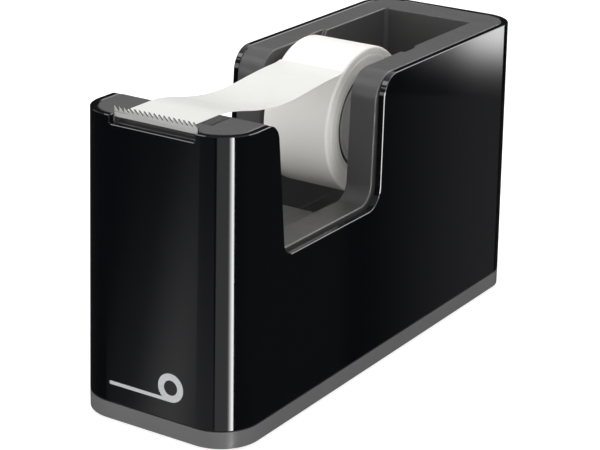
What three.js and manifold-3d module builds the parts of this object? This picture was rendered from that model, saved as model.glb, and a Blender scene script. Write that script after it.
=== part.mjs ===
// Desk tape dispenser: glossy sleeve with a cut-out in both sides, inner liner with a well for the
// roll, base tray, ballast, blade, and a roll on a hub whose axle drops into two slanted slots.
// Millimetres. +X right, +Y rear, +Z up. The cutter is at the -Y end. Z = 0 is the underside of the feet.
import * as THREE from 'three';
import { mergeVertices } from 'three/addons/utils/BufferGeometryUtils.js';
import Module from 'manifold-3d';

const wasm = await Module();
wasm.setup();

// ---------------------------------------------------------------- driving dimensions

const GAP = 0.3;                    // clearance left between pieces that would touch
const RUNNING = 0.1;                // radial clearance of the axle in hub, spacers and slots

const FOOT_PROUD = 0.5;             // how far the pads stand out of the base
const BODY_TOP = 76;                // top face of shell and liner
const BODY_WIDTH = 46.8;
const BODY_LENGTH = 139;
const PLAN_RADIUS = 10.4;           // vertical corners
const DRAFT_SIDE = 1.05;            // the shell leans in this far per side, bottom to top
const DRAFT_END = 1.0;
const SHELL_WALL = 1.7;

const STRIP_HEIGHT = 4.25;          // visible grey strip of the base tray
const BASE_FLOOR = 2;
const LIP_HEIGHT = 3.75;            // locating lip inside the shell
const LIP_WALL = 1.6;
const TRAY_BOSS_RADIUS = 4.6;       // bosses the heads of the base screws sit in
const TRAY_BOSS_TOP = 6;

const CUT_FRONT_TOP = -50.6;        // side cut-out, seen from the side: Y of its corners
const CUT_FRONT_LOW = -47.7;
const CUT_REAR_LOW = -4.9;
const CUT_REAR_TOP = -3.7;
const CUT_FLOOR = 42.9;
const CUT_RADII = [4.2, 3.5, 5.5, 6]; // front top, front low, rear low, rear top
const CUT_REVEAL = 0.9;             // the liner shows this far inside the shell's cut-out

const LINER_WALL = 1.8;
const LINER_FOOT = 9;               // lower edge of the liner skirt
const LINER_BOSS_RADIUS = 3.5;      // bosses the base screws go into
const LINER_BOSS_FOOT = 6.3;

const WELL_WIDTH = 26.5;
const WELL_FRONT = -13.5;
const WELL_REAR = 56.8;
const WELL_FLOOR = 29;
const WELL_WALL = 2;
const LEDGE_FRONT = -45.4;
const LEDGE_TOP = 41;

const AXIS_Y = 11.8;                // roll axis when seated
const AXIS_Z = 58.7;
const AXLE_RADIUS = 2.8;
const AXLE_LENGTH = 28.1;
const SLOT_DEPTH = 1.05;            // groove depth into each wall of the well
const SLOT_LEAN = 32.4;             // degrees from vertical; the slot climbs to the rear

const TAPE_WIDTH = 19.1;
const TAPE_X = -1.45;               // the roll sits a little to the left on its axle
const ROLL_RADIUS = 19;
const CORE_OUTER = 14.2;
const CORE_BORE = 12.9;
const LEAD_THICK = 0.3;

const HUB_RADIUS = 12.2;
const HUB_RIM = 1.3;
const HUB_WEB = 1.6;
const HUB_RECESS = 0.35;            // the web lies this far inside the end of the hub rim
const HUB_BOSS = 4.4;
const HUB_RIBS = 5;

const BLADE_WIDTH = 23.2;
const BLADE_FRONT = -67;
const BLADE_THICK = 0.5;
const BLADE_LOW = 75.4;
const BLADE_VALLEY = 76.8;
const BLADE_TIP = 78;
const BLADE_FLANGE = 6.4;           // reaches this far back, under the tape
const BLADE_FLANGE_WIDTH = 15.6;
const UNDERCUT_FLOOR = 73.9;        // the liner is set back below the front of the blade
const UNDERCUT_REAR = -65.3;
const NOTCH_HALF = 12;              // the shell's front edge is notched for the blade
const BLADE_TEETH = 17;

const RIB_COUNT = 11;               // fine grooves across the platform under the tape
const RIB_PITCH = 0.8;
const RIB_FIRST = -61;
const RIB_HALF = 10.6;
const RIB_DEPTH = 0.3;
const POCKET_LENGTH = 0.9;          // both ends of each groove open into a small deeper pocket
const POCKET_WIDTH = 0.5;
const POCKET_DEPTH = 1.2;

const FOOT_RADIUS = 4.9;
const FOOT_THICK = 1.2;
const FOOT_X = 14.6;
const FOOT_Y = 59.5;
const SCREW_X = 14;
const SCREW_FRONT_Y = -41;
const SCREW_REAR_Y = 44;
const SCREW_SHANK = 1.5;
const SCREW_HEAD = 3;
const SCREW_SHOULDER = 2.7;         // height of the inner side of the head
const SCREW_TIP = 18;
const BALLAST = { width: 34, length: 33, height: 12, y: 18.5 };
const BALLAST_RIB = 1.4;            // wall of the low frame round each block
const BALLAST_RIB_HEIGHT = 3.5;

// ---------------------------------------------------------------- shape helpers

const v2 = (x, y) => new THREE.Vector2(x, y);

// A closed polygon whose corners are replaced by tangent arcs.
function filletPolygon(corners, radii, steps = 8) {
  const out = [];
  corners.forEach((corner, i) => {
    const radius = radii[i];
    if (!radius) {
      out.push(corner.clone());
      return;
    }
    const before = corners[(i + corners.length - 1) % corners.length];
    const after = corners[(i + 1) % corners.length];
    const inward = before.clone().sub(corner).normalize();
    const outward = after.clone().sub(corner).normalize();
    const half = Math.acos(THREE.MathUtils.clamp(inward.dot(outward), -1, 1)) / 2;
    const reach = radius / Math.tan(half);
    const start = corner.clone().addScaledVector(inward, reach);
    const end = corner.clone().addScaledVector(outward, reach);
    const bisector = inward.clone().add(outward).normalize();
    const centre = corner.clone().addScaledVector(bisector, radius / Math.sin(half));
    const a0 = Math.atan2(start.y - centre.y, start.x - centre.x);
    const a1 = Math.atan2(end.y - centre.y, end.x - centre.x);
    const sweep = Math.atan2(Math.sin(a1 - a0), Math.cos(a1 - a0));
    for (let k = 0; k <= steps; k += 1) {
      const a = a0 + (sweep * k) / steps;
      out.push(v2(centre.x + radius * Math.cos(a), centre.y + radius * Math.sin(a)));
    }
  });
  return out;
}

function roundedRectangle(width, length, radius, steps = 8) {
  const x = width / 2;
  const y = length / 2;
  const corners = [v2(-x, -y), v2(x, -y), v2(x, y), v2(-x, y)];
  return filletPolygon(corners, [radius, radius, radius, radius], steps);
}

// A closed solid between two polygons with the same number of points, at heights z0 and z1.
function loft(lower, z0, upper, z1) {
  const n = lower.length;
  const positions = [];
  lower.forEach((p) => positions.push(p.x, p.y, z0));
  upper.forEach((p) => positions.push(p.x, p.y, z1));
  const index = [];
  for (let i = 0; i < n; i += 1) {
    const j = (i + 1) % n;
    index.push(i, j, n + j, i, n + j, n + i);
  }
  for (const [a, b, c] of THREE.ShapeUtils.triangulateShape(lower, [])) {
    index.push(a, c, b, n + a, n + b, n + c);
  }
  const geometry = new THREE.BufferGeometry();
  geometry.setAttribute('position', new THREE.Float32BufferAttribute(positions, 3));
  geometry.setIndex(index);
  return geometry;
}

const prism = (polygon, z0, z1) => solid(loft(polygon, z0, polygon, z1));

// A polygon given in (Y, Z) and carried along X.
function sideways(polygon, x0, x1) {
  const geometry = loft(polygon, x0, polygon, x1);
  const toX = new THREE.Matrix4().set(0, 0, 1, 0, 1, 0, 0, 0, 0, 1, 0, 0, 0, 0, 0, 1);
  return solid(geometry.applyMatrix4(toX));
}

// A polygon given in (X, Z) and carried along Y.
function lengthways(polygon, y0, y1) {
  const geometry = loft(polygon, -y1, polygon, -y0);
  return solid(geometry.rotateX(Math.PI / 2));
}

// A turned body: profile of [radius, position along the axis] pairs, closed on itself or on the axis.
function turned(profile, segments = 48) {
  const points = profile.map(([radius, along]) => v2(radius, along));
  return new THREE.LatheGeometry(points, segments);
}

const turnedX = (profile, y, z, segments) => solid(
  turned(profile, segments).rotateZ(-Math.PI / 2).translate(0, y, z),
);

const turnedZ = (profile, x, y, segments) => solid(
  turned(profile, segments).rotateX(Math.PI / 2).translate(x, y, 0),
);

const disc = (radius, z0, z1, x, y, segments) => turnedZ(
  [[0, z0], [radius, z0], [radius, z1], [0, z1]],
  x,
  y,
  segments,
);

function box(x0, x1, y0, y1, z0, z1) {
  return prism([v2(x0, y0), v2(x1, y0), v2(x1, y1), v2(x0, y1)], z0, z1);
}

// A disc or rod with a small chamfer on both ends.
function rodProfile(radius, from, to, chamfer = 0.3) {
  return [
    [0, from], [radius - chamfer, from], [radius, from + chamfer],
    [radius, to - chamfer], [radius - chamfer, to], [0, to],
  ];
}

// A ring of rectangular section with its outer edges chamfered.
function ringProfile(inner, outer, from, to, chamfer = 0.3) {
  return [
    [inner, from], [outer - chamfer, from], [outer, from + chamfer],
    [outer, to - chamfer], [outer - chamfer, to], [inner, to], [inner, from],
  ];
}

// ---------------------------------------------------------------- solids and meshes

function signedVolume(positions, index) {
  let sum = 0;
  const a = new THREE.Vector3();
  const b = new THREE.Vector3();
  const c = new THREE.Vector3();
  for (let i = 0; i < index.length; i += 3) {
    a.fromArray(positions, index[i] * 3);
    b.fromArray(positions, index[i + 1] * 3);
    c.fromArray(positions, index[i + 2] * 3);
    sum += a.dot(b.cross(c));
  }
  return sum / 6;
}

function solid(source) {
  const geometry = source.clone();
  geometry.deleteAttribute('normal');
  geometry.deleteAttribute('uv');
  const merged = mergeVertices(geometry, 1e-4);
  const positions = Float32Array.from(merged.attributes.position.array);
  const kept = [];
  const raw = merged.index.array;
  for (let i = 0; i < raw.length; i += 3) {
    const [a, b, c] = [raw[i], raw[i + 1], raw[i + 2]];
    if (a !== b && b !== c && c !== a) kept.push(a, b, c);
  }
  if (signedVolume(positions, kept) < 0) kept.reverse();
  return new wasm.Manifold(new wasm.Mesh({
    numProp: 3,
    vertProperties: positions,
    triVerts: Uint32Array.from(kept),
  }));
}

const materials = {
  shell: new THREE.MeshStandardMaterial({ name: 'shell', color: 0x101114, roughness: 0.08 }),
  liner: new THREE.MeshStandardMaterial({ name: 'liner', color: 0x66635f, roughness: 0.5 }),
  base: new THREE.MeshStandardMaterial({ name: 'base', color: 0x636262, roughness: 0.5 }),
  steel: new THREE.MeshStandardMaterial({ name: 'steel', color: 0xc8c8c4, metalness: 1, roughness: 0.3 }),
  ballast: new THREE.MeshStandardMaterial({ name: 'ballast', color: 0x6b6b6d, metalness: 1, roughness: 0.6 }),
  rubber: new THREE.MeshStandardMaterial({ name: 'rubber', color: 0x1c1c1d, roughness: 0.9 }),
  hub: new THREE.MeshStandardMaterial({ name: 'hub', color: 0xb9b9b5, roughness: 0.45 }),
  core: new THREE.MeshStandardMaterial({ name: 'core', color: 0xe9e6de, roughness: 0.85 }),
  tape: new THREE.MeshStandardMaterial({ name: 'tape', color: 0xf2f1ec, roughness: 0.55 }),
};

const dispenser = new THREE.Group();
dispenser.name = 'tape_dispenser';

function addPiece(name, body, material) {
  const mesh = body.getMesh();
  const geometry = new THREE.BufferGeometry();
  geometry.setAttribute('position', new THREE.Float32BufferAttribute(mesh.vertProperties, 3));
  geometry.setIndex(new THREE.Uint32BufferAttribute(mesh.triVerts, 1));
  geometry.computeVertexNormals();
  const node = new THREE.Mesh(geometry, material);
  node.name = name;
  dispenser.add(node);
}

// Side silhouette of the body: full height with the cut-out taken from it.
// `open` moves the cut-out outwards; `top` is the height of the upper edge.
function sideSilhouette(open, top) {
  const [frontTop, frontLow, rearLow, rearTop] = CUT_RADII;
  const corners = [
    v2(-90, -5), v2(90, -5), v2(90, top),
    v2(CUT_REAR_TOP + open, top), v2(CUT_REAR_LOW + open, CUT_FLOOR - open),
    v2(CUT_FRONT_LOW - open, CUT_FLOOR - open), v2(CUT_FRONT_TOP - open, top),
    v2(-90, top),
  ];
  const radii = [0, 0, 0, rearTop - open, rearLow + open, frontLow + open, frontTop - open, 0];
  return sideways(filletPolygon(corners, radii), -40, 40);
}

// ---------------------------------------------------------------- outer shell

const baseUnder = FOOT_PROUD;
const stripTop = baseUnder + STRIP_HEIGHT;
const shellFoot = stripTop + GAP;
const topWidth = BODY_WIDTH - 2 * DRAFT_SIDE;
const topLength = BODY_LENGTH - 2 * DRAFT_END;
const topRadius = PLAN_RADIUS - DRAFT_END;

function shellBlock(inset, z0, z1) {
  const lower = roundedRectangle(BODY_WIDTH - 2 * inset, BODY_LENGTH - 2 * inset, PLAN_RADIUS - inset);
  const upper = roundedRectangle(topWidth - 2 * inset, topLength - 2 * inset, topRadius - inset);
  const rise = (z1 - z0) / (BODY_TOP - shellFoot);
  const high = lower.map((p, i) => p.clone().lerp(upper[i], rise));
  return solid(loft(lower, z0, high, z1));
}

function outerShell() {
  const overrun = 2;
  const sleeve = shellBlock(0, shellFoot, BODY_TOP + overrun)
    .subtract(shellBlock(SHELL_WALL, shellFoot - 0.01, BODY_TOP + overrun + 1));
  const bladeNotch = filletPolygon(
    [
      v2(-NOTCH_HALF, BODY_TOP + 1), v2(-NOTCH_HALF, UNDERCUT_FLOOR),
      v2(NOTCH_HALF, UNDERCUT_FLOOR), v2(NOTCH_HALF, BODY_TOP + 1),
    ],
    [0, 0.5, 0.5, 0],
    3,
  );
  return sleeve
    .intersect(sideSilhouette(0, BODY_TOP))
    .subtract(lengthways(bladeNotch, -BODY_LENGTH / 2 - 1, BLADE_FRONT + 1));
}

addPiece('outer_shell', outerShell(), materials.shell);

// ---------------------------------------------------------------- inner liner

const linerInset = SHELL_WALL + 0.25;
const linerWidth = topWidth - 2 * linerInset;
const linerLength = topLength - 2 * linerInset;
const linerRadius = topRadius - linerInset;

function yRectangle(width, y0, y1, radius) {
  return roundedRectangle(width, y1 - y0, radius, 4).map((p) => v2(p.x, p.y + (y0 + y1) / 2));
}

// The groove each end of the axle slides down: round at the seat, open at the top.
function axleSlots() {
  const lean = THREE.MathUtils.degToRad(SLOT_LEAN);
  const reach = 40;
  const half = AXLE_RADIUS + RUNNING;
  const outline = [];
  for (let k = 0; k <= 12; k += 1) {
    const a = Math.PI + (Math.PI * k) / 12;
    outline.push(v2(half * Math.cos(a), half * Math.sin(a)));
  }
  outline.push(v2(half, reach), v2(-half, reach));
  const placed = outline.map((p) => v2(
    AXIS_Y + p.x * Math.cos(lean) + p.y * Math.sin(lean),
    AXIS_Z - p.x * Math.sin(lean) + p.y * Math.cos(lean),
  ));
  const reachX = WELL_WIDTH / 2 + SLOT_DEPTH;
  return sideways(placed, -reachX, reachX);
}

function innerLiner() {
  const outside = prism(roundedRectangle(linerWidth, linerLength, linerRadius), LINER_FOOT, BODY_TOP + 2)
    .intersect(sideSilhouette(-CUT_REVEAL, BODY_TOP));
  const hollowPlan = roundedRectangle(
    linerWidth - 2 * LINER_WALL,
    linerLength - 2 * LINER_WALL,
    linerRadius - LINER_WALL,
  );
  const wellSkin = prism(
    yRectangle(WELL_WIDTH + 2 * WELL_WALL, WELL_FRONT - WELL_WALL, WELL_REAR + WELL_WALL, 3),
    WELL_FLOOR - WELL_WALL,
    BODY_TOP,
  );
  const ledgeSkin = prism(
    yRectangle(WELL_WIDTH + 2 * LINER_WALL, LEDGE_FRONT - LINER_WALL, WELL_FRONT, 1),
    LEDGE_TOP - LINER_WALL,
    BODY_TOP,
  );
  const hollow = prism(hollowPlan, 0, BODY_TOP - LINER_WALL)
    .intersect(sideSilhouette(LINER_WALL - CUT_REVEAL, BODY_TOP - LINER_WALL))
    .subtract(wellSkin)
    .subtract(ledgeSkin);
  let liner = outside.subtract(hollow);
  for (const [x, y, top] of screwPlaces()) {
    liner = liner.add(disc(LINER_BOSS_RADIUS, LINER_BOSS_FOOT, top, x, y, 24));
  }
  for (const [x, y] of screwPlaces()) {
    liner = liner.subtract(disc(SCREW_SHANK + GAP, 5, SCREW_TIP + 2, x, y, 20));
  }
  liner = liner
    .subtract(prism(yRectangle(WELL_WIDTH, WELL_FRONT, WELL_REAR, 1.2), WELL_FLOOR, 90))
    .subtract(prism(yRectangle(WELL_WIDTH, LEDGE_FRONT, WELL_FRONT + 3, 1.2), LEDGE_TOP, 90))
    .subtract(axleSlots());
  const stripHalf = BLADE_WIDTH / 2 + GAP;
  const stripRear = BLADE_FRONT + BLADE_THICK + GAP;
  const flangeHalf = BLADE_FLANGE_WIDTH / 2 + GAP;
  const flangeRear = BLADE_FRONT + BLADE_FLANGE + GAP;
  liner = liner
    .subtract(box(-stripHalf, stripHalf, -80, stripRear, BLADE_LOW - GAP, 90))
    .subtract(box(-flangeHalf, flangeHalf, -80, flangeRear, BLADE_LOW - GAP, 90))
    .subtract(box(-stripHalf, stripHalf, -80, UNDERCUT_REAR, UNDERCUT_FLOOR, BLADE_LOW - GAP + 0.01));
  for (let i = 0; i < RIB_COUNT; i += 1) {
    const y = RIB_FIRST + i * RIB_PITCH;
    const groove = [v2(y - 0.2, BODY_TOP + 0.1), v2(y, BODY_TOP - RIB_DEPTH), v2(y + 0.2, BODY_TOP + 0.1)];
    const [front, rear] = [y - POCKET_WIDTH / 2, y + POCKET_WIDTH / 2];
    const [floor, end] = [BODY_TOP - POCKET_DEPTH, RIB_HALF + POCKET_LENGTH];
    liner = liner
      .subtract(sideways(groove, -RIB_HALF - 0.1, RIB_HALF + 0.1))
      .subtract(box(-end, -RIB_HALF, front, rear, floor, 90))
      .subtract(box(RIB_HALF, end, front, rear, floor, 90));
  }
  return liner;
}

// Where the four base screws go, and how high the liner boss above each one reaches.
function screwPlaces() {
  const places = [];
  for (const side of [-1, 1]) {
    places.push([side * SCREW_X, SCREW_FRONT_Y, LEDGE_TOP - 1]);
    places.push([side * SCREW_X, SCREW_REAR_Y, WELL_FLOOR - 1]);
  }
  return places;
}

addPiece('inner_liner', innerLiner(), materials.liner);

// ---------------------------------------------------------------- base tray, screws, feet, ballast

const floorTop = baseUnder + BASE_FLOOR;
const footPlaces = [[-1, -1], [1, -1], [-1, 1], [1, 1]].map(([sx, sy]) => [sx * FOOT_X, sy * FOOT_Y]);

function basePlate() {
  const lipInset = SHELL_WALL + GAP;
  const cavityInset = lipInset + LIP_WALL;
  const plan = (inset) => roundedRectangle(
    BODY_WIDTH - 2 * inset,
    BODY_LENGTH - 2 * inset,
    PLAN_RADIUS - inset,
  );
  let tray = prism(plan(0), baseUnder, stripTop)
    .add(prism(plan(lipInset), baseUnder + 1, stripTop + LIP_HEIGHT))
    .subtract(prism(plan(cavityInset), floorTop, 20));
  for (const [x, y] of screwPlaces()) {
    tray = tray.add(disc(TRAY_BOSS_RADIUS, 1, TRAY_BOSS_TOP, x, y, 32));
  }
  for (const y of [-BALLAST.y, BALLAST.y]) {
    tray = tray.add(ballastFrame(y));
  }
  for (const [x, y] of screwPlaces()) {
    tray = tray
      .subtract(disc(SCREW_HEAD + 0.4, 0, SCREW_SHOULDER + GAP, x, y, 32))
      .subtract(disc(SCREW_SHANK + GAP, 2, TRAY_BOSS_TOP + 1, x, y, 20));
  }
  for (const [x, y] of footPlaces) {
    tray = tray.subtract(disc(FOOT_RADIUS + GAP, 0, FOOT_THICK + GAP, x, y, 36));
  }
  return tray;
}

// A low rib around each ballast block keeps it in place on the floor.
function ballastFrame(y) {
  const reach = 2 * (GAP + BALLAST_RIB);
  const outer = roundedRectangle(BALLAST.width + reach, BALLAST.length + reach, 1.5, 3);
  const inner = roundedRectangle(BALLAST.width + 2 * GAP, BALLAST.length + 2 * GAP, 1, 3);
  const shift = (polygon) => polygon.map((p) => v2(p.x, p.y + y));
  return prism(shift(outer), floorTop - 0.5, floorTop + BALLAST_RIB_HEIGHT)
    .subtract(prism(shift(inner), floorTop, 20));
}

function ballastBlock(y) {
  const plan = roundedRectangle(BALLAST.width, BALLAST.length, 1, 3).map((p) => v2(p.x, p.y + y));
  return prism(plan, floorTop + GAP, floorTop + GAP + BALLAST.height);
}

function baseScrew(x, y) {
  const under = baseUnder + 0.5;
  const profile = [
    [0, under], [SCREW_HEAD - 0.5, under], [SCREW_HEAD, under + 0.5], [SCREW_HEAD, SCREW_SHOULDER],
    [SCREW_SHANK, SCREW_SHOULDER], [SCREW_SHANK, SCREW_TIP - 2], [0.3, SCREW_TIP], [0, SCREW_TIP],
  ];
  const crossRecess = box(x - 1.5, x + 1.5, y - 0.35, y + 0.35, 0, under + 0.9)
    .add(box(x - 0.35, x + 0.35, y - 1.5, y + 1.5, 0, under + 0.9));
  return turnedZ(profile, x, y, 24).subtract(crossRecess);
}

addPiece('base_plate', basePlate(), materials.base);
addPiece('ballast_front', ballastBlock(-BALLAST.y), materials.ballast);
addPiece('ballast_rear', ballastBlock(BALLAST.y), materials.ballast);

const cornerNames = ['front_left', 'front_right', 'rear_left', 'rear_right'];
footPlaces.forEach(([x, y], i) => {
  addPiece(`foot_pad_${cornerNames[i]}`, turnedZ(rodProfile(FOOT_RADIUS, 0, FOOT_THICK), x, y, 36), materials.rubber);
});
screwPlaces().forEach(([x, y]) => {
  const name = `base_screw_${y < 0 ? 'front' : 'rear'}_${x < 0 ? 'left' : 'right'}`;
  addPiece(name, baseScrew(x, y), materials.steel);
});

// ---------------------------------------------------------------- cutter blade

function cutterBlade() {
  const half = BLADE_WIDTH / 2;
  const pitch = BLADE_WIDTH / BLADE_TEETH;
  const outline = [v2(-half, BLADE_LOW), v2(half, BLADE_LOW), v2(half, BLADE_VALLEY)];
  for (let i = BLADE_TEETH - 1; i >= 0; i -= 1) {
    const left = -half + i * pitch;
    outline.push(v2(left + 0.12, BLADE_TIP));
    outline.push(v2(left, BLADE_TIP));
    if (i > 0) outline.push(v2(left, BLADE_VALLEY));
  }
  const rearOfStrip = BLADE_FRONT + BLADE_THICK;
  const flangeTop = BLADE_LOW + 0.4;
  const flangeHalf = BLADE_FLANGE_WIDTH / 2;
  return lengthways(outline, BLADE_FRONT, rearOfStrip)
    .add(box(-flangeHalf, flangeHalf, BLADE_FRONT, BLADE_FRONT + BLADE_FLANGE, BLADE_LOW, flangeTop));
}

addPiece('cutter_blade', cutterBlade(), materials.steel);

// ---------------------------------------------------------------- hub, axle and roll

const tapeLeft = TAPE_X - TAPE_WIDTH / 2;
const tapeRight = TAPE_X + TAPE_WIDTH / 2;

// One half of the hub: rim, web and boss in one turned body, with ribs. `end` is the outer face,
// `split` the inner one; the sign of (end - split) tells which half it is.
function hubHalf(end, split) {
  const outward = Math.sign(end - split);
  const webOuter = end - outward * HUB_RECESS;
  const webInner = webOuter - outward * HUB_WEB;
  const bore = AXLE_RADIUS + RUNNING;
  const body = turnedX([
    [HUB_RADIUS - HUB_RIM, end], [HUB_RADIUS, end], [HUB_RADIUS, split], [HUB_RADIUS - HUB_RIM, split],
    [HUB_RADIUS - HUB_RIM, webInner], [HUB_BOSS, webInner], [HUB_BOSS, split], [bore, split],
    [bore, end], [HUB_BOSS, end], [HUB_BOSS, webOuter], [HUB_RADIUS - HUB_RIM, webOuter],
    [HUB_RADIUS - HUB_RIM, end],
  ], AXIS_Y, AXIS_Z, 64);
  const x0 = Math.min(webInner, split + outward);
  const x1 = Math.max(webInner, split + outward);
  let ribs = null;
  for (let i = 0; i < HUB_RIBS; i += 1) {
    const rib = solid(loft(
      [v2(x0, -0.6), v2(x1, -0.6), v2(x1, 0.6), v2(x0, 0.6)], HUB_BOSS - 0.5,
      [v2(x0, -0.6), v2(x1, -0.6), v2(x1, 0.6), v2(x0, 0.6)], HUB_RADIUS - HUB_RIM + 0.5,
    ).rotateX((2 * Math.PI * i) / HUB_RIBS).translate(0, AXIS_Y, AXIS_Z));
    ribs = ribs ? ribs.add(rib) : rib;
  }
  return body.add(ribs);
}

addPiece('axle_pin', turnedX(
  rodProfile(AXLE_RADIUS, -AXLE_LENGTH / 2, AXLE_LENGTH / 2, 0.4),
  AXIS_Y,
  AXIS_Z,
  40,
), materials.steel);

const spacerInner = AXLE_RADIUS + RUNNING;
const wellHalf = WELL_WIDTH / 2;
addPiece('axle_spacer_left', turnedX(
  ringProfile(spacerInner, spacerInner + 1.4, -wellHalf + GAP, tapeLeft),
  AXIS_Y,
  AXIS_Z,
  40,
), materials.hub);
addPiece('axle_spacer_right', turnedX(
  ringProfile(spacerInner, spacerInner + 1.4, tapeRight, wellHalf - GAP),
  AXIS_Y,
  AXIS_Z,
  40,
), materials.hub);

addPiece('hub_left', hubHalf(tapeLeft + GAP, TAPE_X - GAP / 2), materials.hub);
addPiece('hub_right', hubHalf(tapeRight - GAP, TAPE_X + GAP / 2), materials.hub);
addPiece('tape_core', turnedX(
  ringProfile(CORE_BORE, CORE_OUTER, tapeLeft + 0.1, tapeRight - 0.1, 0.1),
  AXIS_Y,
  AXIS_Z,
  72,
), materials.core);
addPiece('tape_winding', turnedX(
  ringProfile(CORE_OUTER + GAP, ROLL_RADIUS, tapeLeft, tapeRight, 0.4),
  AXIS_Y,
  AXIS_Z,
  96,
), materials.tape);

// ---------------------------------------------------------------- free end of the tape

// The free end leaves the front of the roll, hangs in a shallow curve and lies on the platform.
function tapeLead() {
  const onPlatform = BODY_TOP + GAP + LEAD_THICK / 2;
  const peel = ROLL_RADIUS + GAP + LEAD_THICK;
  const peelAngle = THREE.MathUtils.degToRad(128);
  const curve = new THREE.CatmullRomCurve3([
    [BLADE_FRONT + BLADE_THICK + GAP, onPlatform],
    [-60, onPlatform],
    [-53.2, onPlatform],
    [-47, 75.3],
    [-38.5, 73.2],
    [-30, 72],
    [-22, 71.9],
    [-14, 72.6],
    [-6, 73.3],
    [AXIS_Y + peel * Math.cos(peelAngle), AXIS_Z + peel * Math.sin(peelAngle)],
  ].map(([y, z]) => new THREE.Vector3(0, y, z)), false, 'centripetal');
  const centre = curve.getSpacedPoints(60).map((p) => v2(p.y, p.z));
  const offset = (side) => centre.map((p, i) => {
    const along = centre[Math.min(i + 1, centre.length - 1)].clone().sub(centre[Math.max(i - 1, 0)]).normalize();
    return v2(p.x - (side * along.y * LEAD_THICK) / 2, p.y + (side * along.x * LEAD_THICK) / 2);
  });
  const outline = [...offset(-1), ...offset(1).reverse()];
  return sideways(outline, tapeLeft, tapeRight);
}

addPiece('tape_lead', tapeLead(), materials.tape);

export default dispenser;
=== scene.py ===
"""Looks of the desk tape dispenser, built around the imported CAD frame.

Dimensions are in millimetres and become metres when a mesh is made. The frame is the CAD frame:
+X right, +Y rear, +Z up, Z = 0 under the feet, the cutter at the -Y end.
"""

import math
import random

import bmesh
import bpy
import numpy as np
from mathutils import Matrix, Vector


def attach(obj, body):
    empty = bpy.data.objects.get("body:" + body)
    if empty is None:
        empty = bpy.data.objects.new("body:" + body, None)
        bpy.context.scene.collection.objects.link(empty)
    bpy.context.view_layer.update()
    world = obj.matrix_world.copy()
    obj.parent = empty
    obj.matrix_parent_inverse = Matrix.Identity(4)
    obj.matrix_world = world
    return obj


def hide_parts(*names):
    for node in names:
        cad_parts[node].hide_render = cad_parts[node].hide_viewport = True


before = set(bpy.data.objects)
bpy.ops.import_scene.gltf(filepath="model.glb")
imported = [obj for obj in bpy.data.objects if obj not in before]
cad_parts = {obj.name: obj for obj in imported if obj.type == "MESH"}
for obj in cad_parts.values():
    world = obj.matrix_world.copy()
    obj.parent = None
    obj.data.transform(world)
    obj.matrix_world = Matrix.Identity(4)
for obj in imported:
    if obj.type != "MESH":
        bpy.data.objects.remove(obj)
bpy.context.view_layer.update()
random.seed(7)

# ---------------------------------------------------------------- driving dimensions (mm)

MM = 0.001
GAP = 0.3                            # the usual clearance between neighbouring pieces
ABOVE = 95.0                         # a height over every piece, for tools that cut from above

BODY_TOP = 76.0
BODY_WIDTH = 46.8
BODY_LENGTH = 139.0
PLAN_RADIUS = 10.4
DRAFT_SIDE = 1.05                    # each side leans in this far over the height of the shell
DRAFT_END = 1.0
SHELL_WALL = 1.7
SHELL_EDGE = 0.15                    # width of its chamfers
SHELL_FOOT = 4.95
STRIP_TOP = 4.75
BASE_UNDER = 0.5

CUT_CORNERS = {                      # Y and fillet radius of the side cut-out's corners
    "front_top": (-50.6, 4.2),
    "front_low": (-47.7, 3.5),
    "rear_low": (-4.9, 5.5),
    "rear_top": (-3.7, 6.0),
}
CUT_FLOOR = 42.9
CUT_REVEAL = 0.9                     # the liner's cut-out is this much smaller than the shell's

LINER_GAP = 0.12
LINER_WALL = 1.8
LINER_EDGE = 0.25
LINER_FOOT = 9.0
LINER_BOSS_RADIUS = 3.5
LINER_BOSS_FOOT = 6.3
WELL_WIDTH = 26.5
WELL_FRONT = -13.5
WELL_REAR = 56.8
WELL_FLOOR = 29.0
WELL_WALL = 2.0
WELL_CORNER = 1.2
LEDGE_FRONT = -45.4
LEDGE_TOP = 41.0

AXIS_Y = 11.8
AXIS_Z = 58.7
AXLE_RADIUS = 2.8
AXLE_BORE = AXLE_RADIUS + 0.1
AXLE_LENGTH = 28.1
SLOT_DEPTH = 1.05                    # into each wall of the well
SLOT_LEAN = 32.4                     # degrees from vertical; the slot climbs to the rear

TAPE_WIDTH = 19.1
TAPE_X = -1.45                       # the roll sits a little to the left on its axle
TAPE_LEFT = TAPE_X - TAPE_WIDTH / 2
TAPE_RIGHT = TAPE_X + TAPE_WIDTH / 2
ROLL_RADIUS = 19.0
ROLL_CORNER = 0.7
CORE_OUTER = 14.2
CORE_BORE = 12.9
FILM = 0.09

HUB_RADIUS = 12.2
HUB_RIM = 1.3
HUB_WEB = 1.6
HUB_RECESS = 0.35                    # the web lies this far inside the end of the rim
HUB_BOSS = 4.4
HUB_RIBS = 5
HUB_RIB_WIDTH = 1.2

BLADE_WIDTH = 23.2
BLADE_FRONT = -67.0
BLADE_THICK = 0.45
BLADE_EDGE = 0.06
BLADE_LOW = 75.4
BLADE_VALLEY = 76.8
BLADE_TIP = 78.0
BLADE_FLANGE = 6.4                   # reaches this far back, under the tape
BLADE_FLANGE_WIDTH = 15.6
BLADE_FLANGE_THICK = 0.4
UNDERCUT_FLOOR = 73.9
UNDERCUT_REAR = -65.3
NOTCH_HALF = 12.0
BLADE_TEETH = 17

RIB_COUNT = 11                       # fine grooves across the platform under the tape
RIB_PITCH = 0.8
RIB_FIRST = -61.0
RIB_HALF = 10.6
RIB_DEPTH = 0.6
RIB_WIDTH = 0.52
POCKET_LENGTH = 0.9                  # both ends of each groove open into a small deeper pocket
POCKET_WIDTH = 0.5
POCKET_DEPTH = 1.4

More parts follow.
